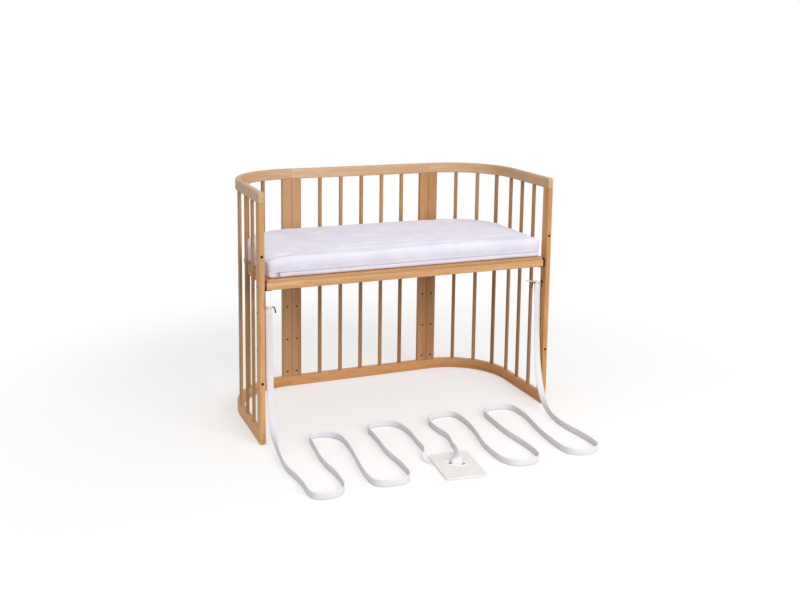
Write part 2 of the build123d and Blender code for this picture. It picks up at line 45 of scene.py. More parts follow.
# small helpers
def toLinear(hexColour):
    channels = [int(hexColour[i:i + 2], 16) / 255 for i in (1, 3, 5)]
    return tuple(c / 12.92 if c <= 0.04045 else ((c + 0.055) / 1.055) ** 2.4 for c in channels) + (1.0,)


def addNode(tree, kind, settings=None, links=None):
    node = tree.nodes.new(kind)
    for name, value in (settings or {}).items():
        if isinstance(name, int) or name in node.inputs:
            node.inputs[name].default_value = value
        else:
            setattr(node, name, value)
    for name, socket in (links or {}).items():
        tree.links.new(socket, node.inputs[name])
    return node


def newMaterial(name):
    material = bpy.data.materials.new(name)
    material.use_nodes = True
    tree = material.node_tree
    tree.nodes.clear()
    shader = addNode(tree, "ShaderNodeBsdfPrincipled")
    addNode(tree, "ShaderNodeOutputMaterial", links={"Surface": shader.outputs["BSDF"]})
    return material, tree, shader


def perMetre(millimetres):
    return 1000 / millimetres


def bandScale(millimetres):
    # a wave texture's bands lie about 0.32 / scale metres apart
    return perMetre(millimetres) * 2 / 6.28


def setRamp(ramp, low, lowColour, high, highColour):
    first, last = ramp.color_ramp.elements
    first.position, first.color = low, lowColour
    last.position, last.color = high, highColour


def dress(names, material):
    for name in names:
        mesh = nodes[name].data
        mesh.materials.clear()
        mesh.materials.append(material)


def addPiece(name, bm, material, body):
    mesh = bpy.data.meshes.new(name)
    bm.to_mesh(mesh)
    bm.free()
    piece = bpy.data.objects.new(name, mesh)
    bpy.context.scene.collection.objects.link(piece)
    mesh.materials.append(material)
    for face in mesh.polygons:
        face.use_smooth = True
    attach(piece, body)
    return piece


# camera, at the photograph's place
camera = {
    "place": (-1.1602, -2.8820, 1.1659),
    "yaw": 0.3959,
    "pitch": 0.1479,
    "roll": 0.0131,
    "focalPixels": 999.448,
    "centre": (398.864, 183.712),
    "width": 800,
    "height": 600,
}


def addCamera(c):
    yaw, pitch, roll = c["yaw"], c["pitch"], c["roll"]
    ahead = Vector((math.sin(yaw) * math.cos(pitch), math.cos(yaw) * math.cos(pitch), -math.sin(pitch)))
    level = Vector((math.cos(yaw), -math.sin(yaw), 0))
    above = level.cross(ahead)
    right = level * math.cos(roll) + above * math.sin(roll)
    up = above * math.cos(roll) - level * math.sin(roll)
    turn = Matrix((right, up, -ahead)).transposed().to_4x4()
    data = bpy.data.cameras.new("photoCamera")
    data.sensor_width = 36
    data.lens = c["focalPixels"] / c["width"] * data.sensor_width
    data.shift_x = (c["width"] / 2 - c["centre"][0]) / c["width"]
    data.shift_y = (c["centre"][1] - c["height"] / 2) / c["width"]
    item = bpy.data.objects.new("photoCamera", data)
    item.matrix_world = Matrix.Translation(c["place"]) @ turn
    bpy.context.scene.collection.objects.link(item)
    bpy.context.scene.camera = item


addCamera(camera)
print("camera set")

# webbing strap: one length from the left hook, under the plate, up its slot, to the right hook
# polyester webbing, narrow woven with fine cross ribs: soft, pale, hardly shiny
webbing = {
    "colour": "#f7f5f9",
    "shade": "#e8e5ec",
    "ribMm": 1.6,        # real ribs are 0.8 mm apart; drawn coarser so that they show
    "threadMm": 2.2,
    "soilScale": 26.0,
    "soilShare": 0.45,
    "roughness": 0.78,
    "sheen": 0.25,
    "bump": 0.35,
    "bumpHeight": 0.0003,
}


def webbingMaterial(w, name):
    material, tree, shader = newMaterial(name)
    uv = addNode(tree, "ShaderNodeUVMap", {"uv_map": "strapUV"})
    ribs = addNode(tree, "ShaderNodeTexWave", {
        "wave_type": "BANDS", "bands_direction": "X", "Scale": bandScale(w["ribMm"]),
        "Distortion": 0.6, "Detail": 2.0, "Detail Scale": 2.0,
    }, {"Vector": uv.outputs["UV"]})
    threads = addNode(tree, "ShaderNodeTexWave", {
        "wave_type": "BANDS", "bands_direction": "Y", "Scale": bandScale(w["threadMm"]),
        "Distortion": 0.3,
    }, {"Vector": uv.outputs["UV"]})
    weave = addNode(tree, "ShaderNodeMath", {"operation": "MULTIPLY"},
                    {0: ribs.outputs["Fac"], 1: threads.outputs["Fac"]})
    soil = addNode(tree, "ShaderNodeTexNoise", {"Scale": w["soilScale"], "Detail": 3.0},
                   {"Vector": uv.outputs["UV"]})
    mixed = addNode(tree, "ShaderNodeMath", {"operation": "MULTIPLY_ADD", 1: w["soilShare"]},
                    {0: soil.outputs["Fac"], 2: weave.outputs["Value"]})
    tint = addNode(tree, "ShaderNodeValToRGB", {}, {"Fac": mixed.outputs["Value"]})
    setRamp(tint, 0.1, toLinear(w["shade"]), 0.7, toLinear(w["colour"]))
    bump = addNode(tree, "ShaderNodeBump", {"Strength": w["bump"], "Distance": w["bumpHeight"]},
                   {"Height": weave.outputs["Value"]})
    tree.links.new(tint.outputs["Color"], shader.inputs["Base Color"])
    tree.links.new(bump.outputs["Normal"], shader.inputs["Normal"])
    shader.inputs["Roughness"].default_value = w["roughness"]
    shader.inputs["Sheen Weight"].default_value = w["sheen"]
    shader.inputs["Specular IOR Level"].default_value = 0.3
    return material


webbingFinish = webbingMaterial(webbing, "wovenPolyesterWebbing")

# Each point: x, y, z, then where the strap's width points: heading in plan and lean from level, degrees
strap = {
    "width": 0.020,
    "thickness": 0.0016,
    "length": 5.02,
    "exit": (-0.437, -0.2085, 0.395),
    "route": [
        (-0.4370, -0.2085, 0.3949, 0, 0), (-0.4371, -0.2108, 0.2794, 0, 0),
        (-0.4374, -0.2200, 0.1717, 0, 10), (-0.4380, -0.2361, 0.0947, 0, 28),
        (-0.4387, -0.2568, 0.0485, 0, 48), (-0.4396, -0.2821, 0.0231, 0, 68),
        (-0.4404, -0.3051, 0.0127, 0, 82), (-0.4410, -0.3235, 0.0100, 0, 90),
        (-0.4520, -0.4185, 0.0100, 0, 90), (-0.4340, -0.5185, 0.0100, 0, 90),
        (-0.4410, -0.6165, 0.0100, 0, 90), (-0.3440, -0.6185, 0.0100, 0, 90),
        (-0.3330, -0.5205, 0.0100, 0, 90), (-0.3470, -0.4185, 0.0100, 0, 90),
        (-0.3370, -0.3205, 0.0100, 0, 90), (-0.3310, -0.2245, 0.0100, 0, 90),
        (-0.2440, -0.2525, 0.0100, 0, 90), (-0.2430, -0.3505, 0.0100, 0, 90),
        (-0.2550, -0.4485, 0.0100, 0, 90), (-0.2660, -0.5285, 0.0100, 0, 90),
        (-0.2620, -0.6065, 0.0100, 0, 90), (-0.1560, -0.6125, 0.0100, 0, 90),
        (-0.1500, -0.5165, 0.0100, 0, 90), (-0.1600, -0.4185, 0.0100, 0, 90),
        (-0.1500, -0.3235, 0.0100, 0, 90), (-0.1530, -0.2205, 0.0100, 0, 90),
        (-0.0540, -0.2245, 0.0100, 0, 90), (-0.0420, -0.3185, 0.0100, 0, 90),
        (-0.0500, -0.3785, 0.0100, 0, 90), (-0.0520, -0.4335, 0.0100, 0, 90),
        (-0.0540, -0.4505, 0.0102, 169, 84), (-0.0600, -0.4685, 0.0090, 161, 55),
        (-0.0660, -0.4825, 0.0044, 163, 20), (-0.0680, -0.4945, 0.0010, 180, 0),
        (-0.0620, -0.5100, 0.0010, 200, 0), (-0.0520, -0.5225, 0.0010, 207, 0),
        (-0.0400, -0.5450, 0.0010, 222, 0), (-0.0220, -0.5650, 0.0010, 288, 0),
        (-0.0080, -0.5605, 0.0010, 333, 0), (-0.0030, -0.5505, 0.0012, 333, 0),
        (-0.0020, -0.5485, 0.0080, 333, 0),
        (0.0000, -0.5435, 0.0152, 343, 8), (0.0050, -0.5325, 0.0175, 338, 22),
        (0.0120, -0.5175, 0.0173, 336, 42), (0.0200, -0.4965, 0.0162, 338, 62),
        (0.0270, -0.4755, 0.0155, 343, 78), (0.0320, -0.4545, 0.0120, 347, 87),
        (0.0380, -0.4335, 0.0100, 346, 90), (0.0520, -0.3785, 0.0100, 0, 90),
        (0.0380, -0.3135, 0.0100, 0, 90), (0.0440, -0.2325, 0.0100, 0, 90),
        (0.1420, -0.2125, 0.0100, 0, 90), (0.1500, -0.3035, 0.0100, 0, 90),
        (0.1380, -0.3935, 0.0100, 0, 90), (0.1160, -0.4835, 0.0100, 0, 90),
        (0.1200, -0.6165, 0.0100, 0, 90), (0.2280, -0.6265, 0.0100, 0, 90),
        (0.2360, -0.5285, 0.0100, 0, 90), (0.2240, -0.4285, 0.0100, 0, 90),
        (0.2260, -0.3335, 0.0100, 0, 90), (0.2320, -0.2285, 0.0100, 0, 90),
        (0.3380, -0.2205, 0.0100, 0, 90), (0.3440, -0.3185, 0.0100, 0, 90),
        (0.3260, -0.4135, 0.0100, 0, 90), (0.3160, -0.5085, 0.0100, 0, 90),
        (0.3190, -0.6165, 0.0100, 0, 90), (0.4240, -0.6225, 0.0100, 0, 90),
        (0.4270, -0.5235, 0.0100, 0, 90), (0.4120, -0.4285, 0.0100, 0, 90),
        (0.4180, -0.3585, 0.0100, 0, 90), (0.4210, -0.3345, 0.0127, 0, 82),
        (0.4248, -0.3045, 0.0231, 0, 68), (0.4290, -0.2715, 0.0485, 0, 48),
        (0.4324, -0.2445, 0.0947, 0, 28), (0.4351, -0.2235, 0.1717, 0, 10),
        (0.4366, -0.2115, 0.2794, 0, 0), (0.4370, -0.2085, 0.3949, 0, 0),
    ],
}
# the soft webbing opens out flat where it comes up through the slot
opened = {"place": (-0.0020, -0.5475, 0.0080), "gain": 0.42, "reach": 0.020}


def splinePoints(points, name):
    curve = bpy.data.curves.new(name, "CURVE")
    curve.dimensions = "3D"
    curve.resolution_u = 12
    spline = curve.splines.new("NURBS")
    spline.points.add(len(points) - 1)
    for point, place in zip(spline.points, points):
        point.co = (*place, 1)
    spline.order_u = 3
    spline.use_endpoint_u = True
    holder = bpy.data.objects.new(name, curve)
    mesh = bpy.data.meshes.new_from_object(holder)
    line = [v.co.copy() for v in mesh.vertices]
    bpy.data.objects.remove(holder)
    bpy.data.curves.remove(curve)
    bpy.data.meshes.remove(mesh)
    return line


def widthWay(heading, lean):
    h, a = math.radians(heading), math.radians(lean)
    return Vector((math.cos(h) * math.cos(a), math.sin(h) * math.cos(a), math.sin(a)))


def ribbonFrames(route, name):
    # a second spline beside the first carries the direction of the width along it
    middle = splinePoints([p[:3] for p in route], name)
    reach = 0.01
    beside = splinePoints([Vector(p[:3]) + reach * widthWay(p[3], p[4]) for p in route], name)
    line, frames, gone = [], [], 0
    for k, point in enumerate(middle):
        before, after = middle[max(k - 1, 0)], middle[min(k + 1, len(middle) - 1)]
        way = (after - before).normalized()
        wide = beside[k] - point
        wide = (wide - wide.dot(way) * way).normalized()
        fromSlot = (point - Vector(opened["place"])).length / opened["reach"]
        wide *= 1 + opened["gain"] * math.exp(-fromSlot ** 2)
        if k:
            gone += (point - middle[k - 1]).length
        frames.append((point, way, wide, gone))
        line.append(point)
    return line, frames


def tubeMesh(frames, profile, uvName):
    # an unrolled tube: a grid laid round the profile at each step, welded along its seam and closed
    steps, sides = len(frames) - 1, len(profile)
    girth = [0.0]
    for a, b in zip(profile, profile[1:] + profile[:1]):
        girth.append(girth[-1] + math.hypot(b[0] - a[0], b[1] - a[1]))
    bm = bmesh.new()
    bmesh.ops.create_grid(bm, x_segments=steps, y_segments=sides, size=0.5)
    layer = bm.loops.layers.uv.new(uvName)
    for v in bm.verts:
        k, j = round((v.co.x + 0.5) * steps), round((v.co.y + 0.5) * sides)
        point, way, wide, gone = frames[k]
        across, out = profile[j % sides]
        v.co = point + wide * across + way.cross(wide).normalized() * out
        for loop in v.link_loops:
            loop[layer].uv = (gone, girth[j])
    bmesh.ops.remove_doubles(bm, verts=bm.verts[:], dist=1e-7)
    bmesh.ops.holes_fill(bm, edges=[e for e in bm.edges if e.is_boundary], sides=0)
    bmesh.ops.recalc_face_normals(bm, faces=bm.faces[:])
    return bm


def flatProfile(width, thickness):
    # a flat band whose edges are a little rounded
    half, edge = width / 2, thickness / 2
    return [(-half + edge, -edge), (-half / 3, -edge), (half / 3, -edge), (half - edge, -edge), (half, 0),
            (half - edge, edge), (half / 3, edge), (-half / 3, edge), (-half + edge, edge), (-half, 0)]


def addStrap(s):
    line, frames = ribbonFrames(s["route"], "strapLine")
    bm = tubeMesh(frames, flatProfile(s["width"], s["thickness"]), "strapUV")
    piece = addPiece("floorStrap", bm, webbingFinish, "frame")
    print("strap length", round(frames[-1][3], 3))
    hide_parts("strap_floor_left", "strap_floor_right", "strap_hang_left", "strap_hang_right",
                "strap_under_plate", "strap_from_slot")
    return piece, line


strapPiece, strapLine = addStrap(strap)

# sewn loops round the hooks
loops = {
    "x": 0.437,
    "y": frontY + 0.020,
    "z": 0.398,
    "radius": 0.0031,
    "droop": 1.5,            # the lower half of a loop is drawn down and in to a teardrop
    "pinch": 0.8,
    "lapDrop": 0.026,        # the sewn-down end behind the strap
    "lapGap": 0.001,
    "tailLength": 0.030,     # the loose end over the right hook
    "tailWidth": 0.007,
    "tailGap": 0.0012,
    "tailCurl": 0.004,
}


def addLoop(side, l):
    s = strap
    bm = bmesh.new()
    ring = bmesh.ops.create_circle(bm, segments=28, radius=l["radius"] + s["thickness"] / 2)
    turn = Matrix.Rotation(math.pi / 2, 4, "Y")
    bmesh.ops.transform(bm, matrix=turn, verts=ring["verts"])
    bmesh.ops.translate(bm, vec=(-s["width"] / 2, 0, 0), verts=bm.verts[:])
    wall = bmesh.ops.extrude_edge_only(bm, edges=bm.edges[:])
    moved = [v for v in wall["geom"] if isinstance(v, bmesh.types.BMVert)]
    bmesh.ops.translate(bm, vec=(s["width"], 0, 0), verts=moved)
    for v in bm.verts:
        if v.co.z < 0:
            v.co.z *= l["droop"]
            v.co.y *= l["pinch"]
    bmesh.ops.recalc_face_normals(bm, faces=bm.faces[:])
    bmesh.ops.solidify(bm, geom=bm.faces[:], thickness=s["thickness"])
    lap = bmesh.ops.create_grid(bm, x_segments=1, y_segments=6, size=0.5)
    for v in lap["verts"]:
        across, down = v.co.x, 0.5 - v.co.y
        v.co = Vector((across * s["width"], s["thickness"] * (1.35 - 0.3 * down),
                       -l["radius"] - l["lapGap"] - down * l["lapDrop"]))
    faces = list({f for v in lap["verts"] for f in v.link_faces})
    bmesh.ops.solidify(bm, geom=faces, thickness=s["thickness"] * 0.9)
    if side > 0:
        tail = bmesh.ops.create_grid(bm, x_segments=6, y_segments=1, size=0.5)
        for v in tail["verts"]:
            along = 0.5 - v.co.x
            v.co = Vector((-along * (l["tailLength"] + s["width"] / 2), v.co.y * l["tailWidth"],
                           l["radius"] + l["tailGap"] + l["tailCurl"] * along * along))
        faces = list({f for v in tail["verts"] for f in v.link_faces})
        bmesh.ops.solidify(bm, geom=faces, thickness=s["thickness"])
    layer = bm.loops.layers.uv.new("strapUV")
    for face in bm.faces:
        for loop in face.loops:
            loop[layer].uv = (loop.vert.co.z, loop.vert.co.x)
    bmesh.ops.translate(bm, vec=(side * l["x"], l["y"], l["z"]), verts=bm.verts[:])
    return addPiece("strapLoopLeft" if side < 0 else "strapLoopRight", bm, loopFinish, "frame")


# cream binding tape, woven like the strap
loopFinish = webbingMaterial({**webbing, "colour": "#fcf8f0", "shade": "#f3ede2"}, "bindingTapeLoop")
strapLoops = [addLoop(-1, loops), addLoop(1, loops)]
print("strap made")

# solid beech, planed and oiled: pale warm brown with straight fine grain and short dark flecks
beech = {
    "light": "#dcb086",
    "middle": "#cd9c6c",
    "dark": "#b4804e",
    "fleck": "#8c5c33",
    # painted shade inside the drilled holes, with their darker oiled end grain
    "bore": "#3a2417",
    "streakMm": 4.0,     # real beech rings are 1 to 3 mm apart; drawn coarser so that they show
    "fineMm": 0.9,
    "toneMm": 60,
    "fleckMm": 1.1,      # ray flecks are about 0.3 mm wide; drawn coarser so that they show
    "alongShare": 0.045, # the pattern is drawn out along the grain
    "roughness": 0.46,
    "bump": 0.12,
    "bumpHeight": 0.0004,
}
bend = {"x": 0.260, "y": 0.0185, "radius": 0.2015}      # where the side rails bend
# painted light and shade: each board's beech colour is scaled by a red, green and blue share, brighter on the
# rails and beam and darker on the stiles and slats, to stand in for how brightly each part is lit
paintedLightShares = {
    "topRail": (1.10, 1.26, 1.58),
    "bottomRail": (1.05, 0.92, 0.70),
    "beam": (1.28, 1.34, 1.36),
    "post": (1.04, 0.96, 0.78),
    "stile": (0.79, 0.74, 0.64),
    "slat": (0.71, 0.67, 0.58),
    "hidden": (0.95, 0.92, 0.85),
}
# painted shade in the drilled rows of holes, over their somewhat darker oiled end grain: first row, pitch,
# last height, places and radius
drilled = {"first": 0.0515, "pitch": 0.111, "top": 0.42, "seam": 0.244, "half": 0.016, "frontY": -0.2085,
           "radius": 0.0033}


# a colour brightened or darkened by a board's painted light and shade share
def paintedLightTone(hexColour, tint):
    return tuple(min(1.0, c * t) for c, t in zip(toLinear(hexColour), (*tint, 1)))


def grainVector(tree, grain):
    place = addNode(tree, "ShaderNodeTexCoord").outputs["Object"]
    split = addNode(tree, "ShaderNodeSeparateXYZ", {}, {0: place})
    x, y, z = split.outputs[0], split.outputs[1], split.outputs[2]
    if grain == "bend":
        # distance from the rail's inner line and way round the bend, so that the grain follows it
        mirrored = addNode(tree, "ShaderNodeMath", {"operation": "ABSOLUTE"}, {0: x})
        dx = addNode(tree, "ShaderNodeMath", {"operation": "SUBTRACT", 1: bend["x"]},
                     {0: mirrored.outputs[0]})
        dy = addNode(tree, "ShaderNodeMath", {"operation": "SUBTRACT", 1: bend["y"]}, {0: y})
        px = addNode(tree, "ShaderNodeMath", {"operation": "MAXIMUM", 1: 0.0}, {0: dx.outputs[0]})
        py = addNode(tree, "ShaderNodeMath", {"operation": "MAXIMUM", 1: 0.0}, {0: dy.outputs[0]})
        xx = addNode(tree, "ShaderNodeMath", {"operation": "MULTIPLY"},
                     {0: px.outputs[0], 1: px.outputs[0]})
        rr = addNode(tree, "ShaderNodeMath", {"operation": "MULTIPLY_ADD"},
                     {0: py.outputs[0], 1: py.outputs[0], 2: xx.outputs[0]})
        across = addNode(tree, "ShaderNodeMath", {"operation": "SQRT"}, {0: rr.outputs[0]}).outputs[0]
        angle = addNode(tree, "ShaderNodeMath", {"operation": "ARCTAN2"},
                        {0: py.outputs[0], 1: px.outputs[0]})
        back = addNode(tree, "ShaderNodeMath", {"operation": "MINIMUM", 1: 0.0}, {0: dx.outputs[0]})
        front = addNode(tree, "ShaderNodeMath", {"operation": "MINIMUM", 1: 0.0}, {0: dy.outputs[0]})
        run = addNode(tree, "ShaderNodeMath", {"operation": "SUBTRACT"},
                      {0: front.outputs[0], 1: back.outputs[0]})
        along = addNode(tree, "ShaderNodeMath", {"operation": "MULTIPLY_ADD", 1: bend["radius"]},
                        {0: angle.outputs[0], 2: run.outputs[0]}).outputs[0]
        first, second = across, z
    elif grain == "x":
        first, second, along = y, z, x
    elif grain == "y":
        first, second, along = x, z, y
    else:
        first, second, along = x, y, z
    squeezed = addNode(tree, "ShaderNodeMath", {"operation": "MULTIPLY", 1: beech["alongShare"]}, {0: along})
    grained = addNode(tree, "ShaderNodeCombineXYZ", {}, {0: first, 1: second, 2: squeezed.outputs[0]})
    return grained.outputs[0]


def paintedBoreShade(tree, d):
    # 1 inside the height rows' bores, where the painted shade goes, 0 elsewhere
    place = addNode(tree, "ShaderNodeTexCoord").outputs["Object"]
    split = addNode(tree, "ShaderNodeSeparateXYZ", {}, {0: place})
    x, y, z = split.outputs[0], split.outputs[1], split.outputs[2]

    def step(operation, value, source, second=None):
        links = {0: source} if second is None else {0: source, 1: second}
        settings = {"operation": operation} if value is None else {"operation": operation, 1: value}
        return addNode(tree, "ShaderNodeMath", settings, links).outputs[0]

    fromSeam = step("SUBTRACT", d["seam"], step("ABSOLUTE", None, x))
    fromStile = step("ABSOLUTE", None, step("SUBTRACT", d["half"], step("ABSOLUTE", None, fromSeam)))
    fromPost = step("ABSOLUTE", None, step("SUBTRACT", d["frontY"], y))
    aside = step("MINIMUM", None, fromStile, fromPost)
    up = step("PINGPONG", d["pitch"] / 2, step("SUBTRACT", d["first"], z))
    gap = step("SQRT", None, step("ADD", None, step("MULTIPLY", None, aside, aside),
                                  step("MULTIPLY", None, up, up)))
    return step("MULTIPLY", None, step("LESS_THAN", d["radius"], gap), step("LESS_THAN", d["top"], z))


def beechMaterial(name, grain, tint, hasRows, b):
    material, tree, shader = newMaterial(name)
    vector = grainVector(tree, grain)
    tone = addNode(tree, "ShaderNodeTexNoise", {"Scale": perMetre(b["toneMm"]), "Detail": 2.0},
                   {"Vector": vector})
    streak = addNode(tree, "ShaderNodeTexNoise",
                     {"Scale": perMetre(b["streakMm"]), "Detail": 4.0, "Roughness": 0.6, "Distortion": 0.3},
                     {"Vector": vector})
    fine = addNode(tree, "ShaderNodeTexNoise", {"Scale": perMetre(b["fineMm"]), "Detail": 2.0},
                   {"Vector": vector})
    fleck = addNode(tree, "ShaderNodeTexNoise", {"Scale": perMetre(b["fleckMm"]) / 2, "Detail": 1.0},
                    {"Vector": vector})
    blend = addNode(tree, "ShaderNodeMath", {"operation": "MULTIPLY_ADD", 1: 0.55},
                    {0: streak.outputs["Fac"], 2: tone.outputs["Fac"]})
    blend = addNode(tree, "ShaderNodeMath", {"operation": "MULTIPLY_ADD", 1: 0.12},
                    {0: fine.outputs["Fac"], 2: blend.outputs[0]})
    ramp = addNode(tree, "ShaderNodeValToRGB", {}, {"Fac": blend.outputs[0]})
    # the beech colours carry the board's painted light and shade
    setRamp(ramp, 0.55, paintedLightTone(b["dark"], tint), 0.98, paintedLightTone(b["light"], tint))
    ramp.color_ramp.elements.new(0.8).color = paintedLightTone(b["middle"], tint)
    spots = addNode(tree, "ShaderNodeMapRange",
                    {"From Min": 0.66, "From Max": 0.78, "To Min": 0.0, "To Max": 0.5},
                    {"Value": fleck.outputs["Fac"]})
    colour = addNode(tree, "ShaderNodeMix", {"data_type": "RGBA", 7: toLinear(b["fleck"])},
                     {0: spots.outputs[0], 6: ramp.outputs["Color"]})
    if hasRows:
        # painted shade in the bores, over their darker oiled end grain
        colour = addNode(tree, "ShaderNodeMix", {"data_type": "RGBA", 7: toLinear(b["bore"])},
                         {0: paintedBoreShade(tree, drilled), 6: colour.outputs[2]})
    shine = addNode(tree, "ShaderNodeMapRange",
                    {"To Min": b["roughness"] - 0.06, "To Max": b["roughness"] + 0.1},
                    {"Value": streak.outputs["Fac"]})
    bump = addNode(tree, "ShaderNodeBump", {"Strength": b["bump"], "Distance": b["bumpHeight"]},
                   {"Height": fine.outputs["Fac"]})
    tree.links.new(colour.outputs[2], shader.inputs["Base Color"])
    tree.links.new(shine.outputs[0], shader.inputs["Roughness"])
    tree.links.new(bump.outputs["Normal"], shader.inputs["Normal"])
    shader.inputs["Specular IOR Level"].default_value = 0.4
    return material


# material name, grain direction, painted light and shade share, whether it has the drilled rows, pieces
boards = [
    ("oiledBeechPost", "z", "post", True, [n for n in nodes if n.startswith("front_post_")]),
    ("oiledBeechStile", "z", "stile", True, [n for n in nodes if n.startswith("stile_")]),
    ("oiledBeechSlat", "z", "slat", False, [n for n in nodes if n.startswith("slat_")]),
    ("oiledBeechBentTop", "bend", "topRail", False, ["top_rail_left", "top_rail_right"]),
    ("oiledBeechBentLow", "bend", "bottomRail", False, ["bottom_rail_left", "bottom_rail_right"]),
    ("oiledBeechTopRail", "x", "topRail", False, ["top_rail_middle"]),
    ("oiledBeechLowRail", "x", "bottomRail", False, ["bottom_rail_middle"]),
    ("oiledBeechBeam", "x", "beam", False, ["base_front_beam"]),
    ("oiledBeechBase", "x", "hidden", False, ["base_rear_beam", "base_board"]),
    ("oiledBeechBatten", "y", "hidden", False,
     [n for n in nodes if n.startswith(("base_batten_", "base_edge_"))]),
    ("beechDowel", "z", "hidden", False, ["rail_dowels"]),
]
for boardName, boardGrain, lightShare, hasRows, boardNodes in boards:
    dress(boardNodes, beechMaterial(boardName, boardGrain, paintedLightShares[lightShare], hasRows, beech))
print("wood dressed")


# metal, plastic and foam: how far the roughness varies over the surface, and the height of its grit
fittingSurface = {"roughnessSpread": 0.08, "gritHeight": 0.0002}


def fittingMaterial(name, f):
    material, tree, shader = newMaterial(name)
    place = addNode(tree, "ShaderNodeTexCoord").outputs["Object"]
    grit = addNode(tree, "ShaderNodeTexNoise", {"Scale": perMetre(f["gritMm"]), "Detail": 3.0},
                   {"Vector": place})
    patch = addNode(tree, "ShaderNodeTexNoise", {"Scale": perMetre(f["patchMm"]), "Detail": 2.0},
                    {"Vector": place})
    ramp = addNode(tree, "ShaderNodeValToRGB", {}, {"Fac": patch.outputs["Fac"]})
    setRamp(ramp, 0.35, toLinear(f["shade"]), 0.65, toLinear(f["colour"]))
    spread = fittingSurface["roughnessSpread"]
    shine = addNode(tree, "ShaderNodeMapRange",
                    {"To Min": f["roughness"] - spread, "To Max": f["roughness"] + spread},
                    {"Value": patch.outputs["Fac"]})
    bump = addNode(tree, "ShaderNodeBump", {"Strength": f["bump"], "Distance": fittingSurface["gritHeight"]},
                   {"Height": grit.outputs["Fac"]})
    tree.links.new(ramp.outputs["Color"], shader.inputs["Base Color"])
    tree.links.new(shine.outputs[0], shader.inputs["Roughness"])
    tree.links.new(bump.outputs["Normal"], shader.inputs["Normal"])
    shader.inputs["Metallic"].default_value = f["metallic"]
    return material


# black oxide steel hooks, dark and softly shiny
hookSteel = fittingMaterial("blackenedSteel", {
    "colour": "#4a4744", "shade": "#37342f", "gritMm": 0.4, "patchMm": 6, "roughness": 0.38, "bump": 0.05,
    "metallic": 0.9})
# zinc plated screws and bolts, grey with a faint warm cast
zincSteel = fittingMaterial("zincPlatedSteel", {
    "colour": "#a09a90", "shade": "#85807a", "gritMm": 0.5, "patchMm": 8, "roughness": 0.36, "bump": 0.05,
    "metallic": 1.0})
# black powder coat on the angle brackets: fine orange peel
bracketCoat = fittingMaterial("powderCoatedSteel", {
    "colour": "#33302d", "shade": "#292624", "gritMm": 0.9, "patchMm": 20, "roughness": 0.55, "bump": 0.2,
    "metallic": 0.0})
# die cast zinc sockets, dull and dark inside the bore
socketMetal = fittingMaterial("dullZincSocket", {
    "colour": "#6d675d", "shade": "#4f4a43", "gritMm": 0.4, "patchMm": 4, "roughness": 0.5, "bump": 0.1,
    "metallic": 0.9})
# injection moulded plastic plate, off-white with fine spark texture
platePlastic = fittingMaterial("mouldedPolypropylene", {
    "colour": "#fbfaf7", "shade": "#f6f4f0", "gritMm": 0.8, "patchMm": 40, "roughness": 0.5, "bump": 0.12,
    "metallic": 0.0})
# cream polyurethane foam, open cells
foam = fittingMaterial("polyurethaneFoam", {
    "colour": "#efe9d6", "shade": "#e2dac2", "gritMm": 1.5, "patchMm": 30, "roughness": 0.9, "bump": 0.6,
    "metallic": 0.0})

dress(["strap_hook_left", "strap_hook_right"], hookSteel)
dress(["bracket_bolts", "bracket_nuts", "seam_bolts", "board_screws"], zincSteel)
dress(["base_brackets_front", "base_brackets_back"], bracketCoat)
dress(["seam_inserts", "socket_inserts"], socketMetal)
dress(["strap_plate"], platePlastic)
dress(["mattress_core"], foam)
print("fittings dressed")

# mattress: white polycotton cover, plain weave over thin wadding: matt, faintly lavender, softly rumpled
cotton = {
    "colour": "#f2effd",
    "shade": "#e8e5f7",
    "threadMm": 1.5,     # real threads are 0.3 mm apart; drawn coarser so that they show
    "cloudScale": 14.0,
    "roughness": 0.85,
    "sheen": 0.3,
    "bump": 0.15,
    "bumpHeight": 0.0003,
}


def cottonMaterial(c):
    material, tree, shader = newMaterial("whitePolycotton")
    place = addNode(tree, "ShaderNodeTexCoord").outputs["Object"]
    threads = {"Scale": bandScale(c["threadMm"]), "Distortion": 0.8, "Detail": 2.0}
    warp = addNode(tree, "ShaderNodeTexWave", {"bands_direction": "X", **threads}, {"Vector": place})
    weft = addNode(tree, "ShaderNodeTexWave", {"bands_direction": "Y", **threads}, {"Vector": place})
    weave = addNode(tree, "ShaderNodeMath", {"operation": "ADD"},
                    {0: warp.outputs["Fac"], 1: weft.outputs["Fac"]})
    cloud = addNode(tree, "ShaderNodeTexNoise", {"Scale": c["cloudScale"], "Detail": 4.0}, {"Vector": place})
    ramp = addNode(tree, "ShaderNodeValToRGB", {}, {"Fac": cloud.outputs["Fac"]})
    setRamp(ramp, 0.3, toLinear(c["shade"]), 0.6, toLinear(c["colour"]))
    bump = addNode(tree, "ShaderNodeBump", {"Strength": c["bump"], "Distance": c["bumpHeight"]},
                   {"Height": weave.outputs["Value"]})
    tree.links.new(ramp.outputs["Color"], shader.inputs["Base Color"])
    tree.links.new(bump.outputs["Normal"], shader.inputs["Normal"])
    shader.inputs["Roughness"].default_value = c["roughness"]
    shader.inputs["Sheen Weight"].default_value = c["sheen"]
    shader.inputs["Specular IOR Level"].default_value = 0.2
    return material


cottonFinish = cottonMaterial(cotton)

mattress = {
    "half": 0.4455,          # before the cloth is filled, which draws the corners in a little
    "front": frontY + 0.0100,
    "back": 0.2020,
    "backCorner": 0.182,
    "frontCorner": 0.014,
    "low": 0.4815,
    "high": 0.5405,
    "topRound": 0.016,
    "lowRound": 0.007,
    "voxel": 0.0065,
    "pressure": 4.0,
    "steps": 20,
    "cap": 0.0045,           # no point of the cover moves further than this while it fills
}
# woven cotton: firm in its plane, easily bent
coverCloth = {
    "quality": 6,
    "mass": 0.3,
    "tension_stiffness": 25,
    "compression_stiffness": 25,
    "bending_stiffness": 0.8,
}


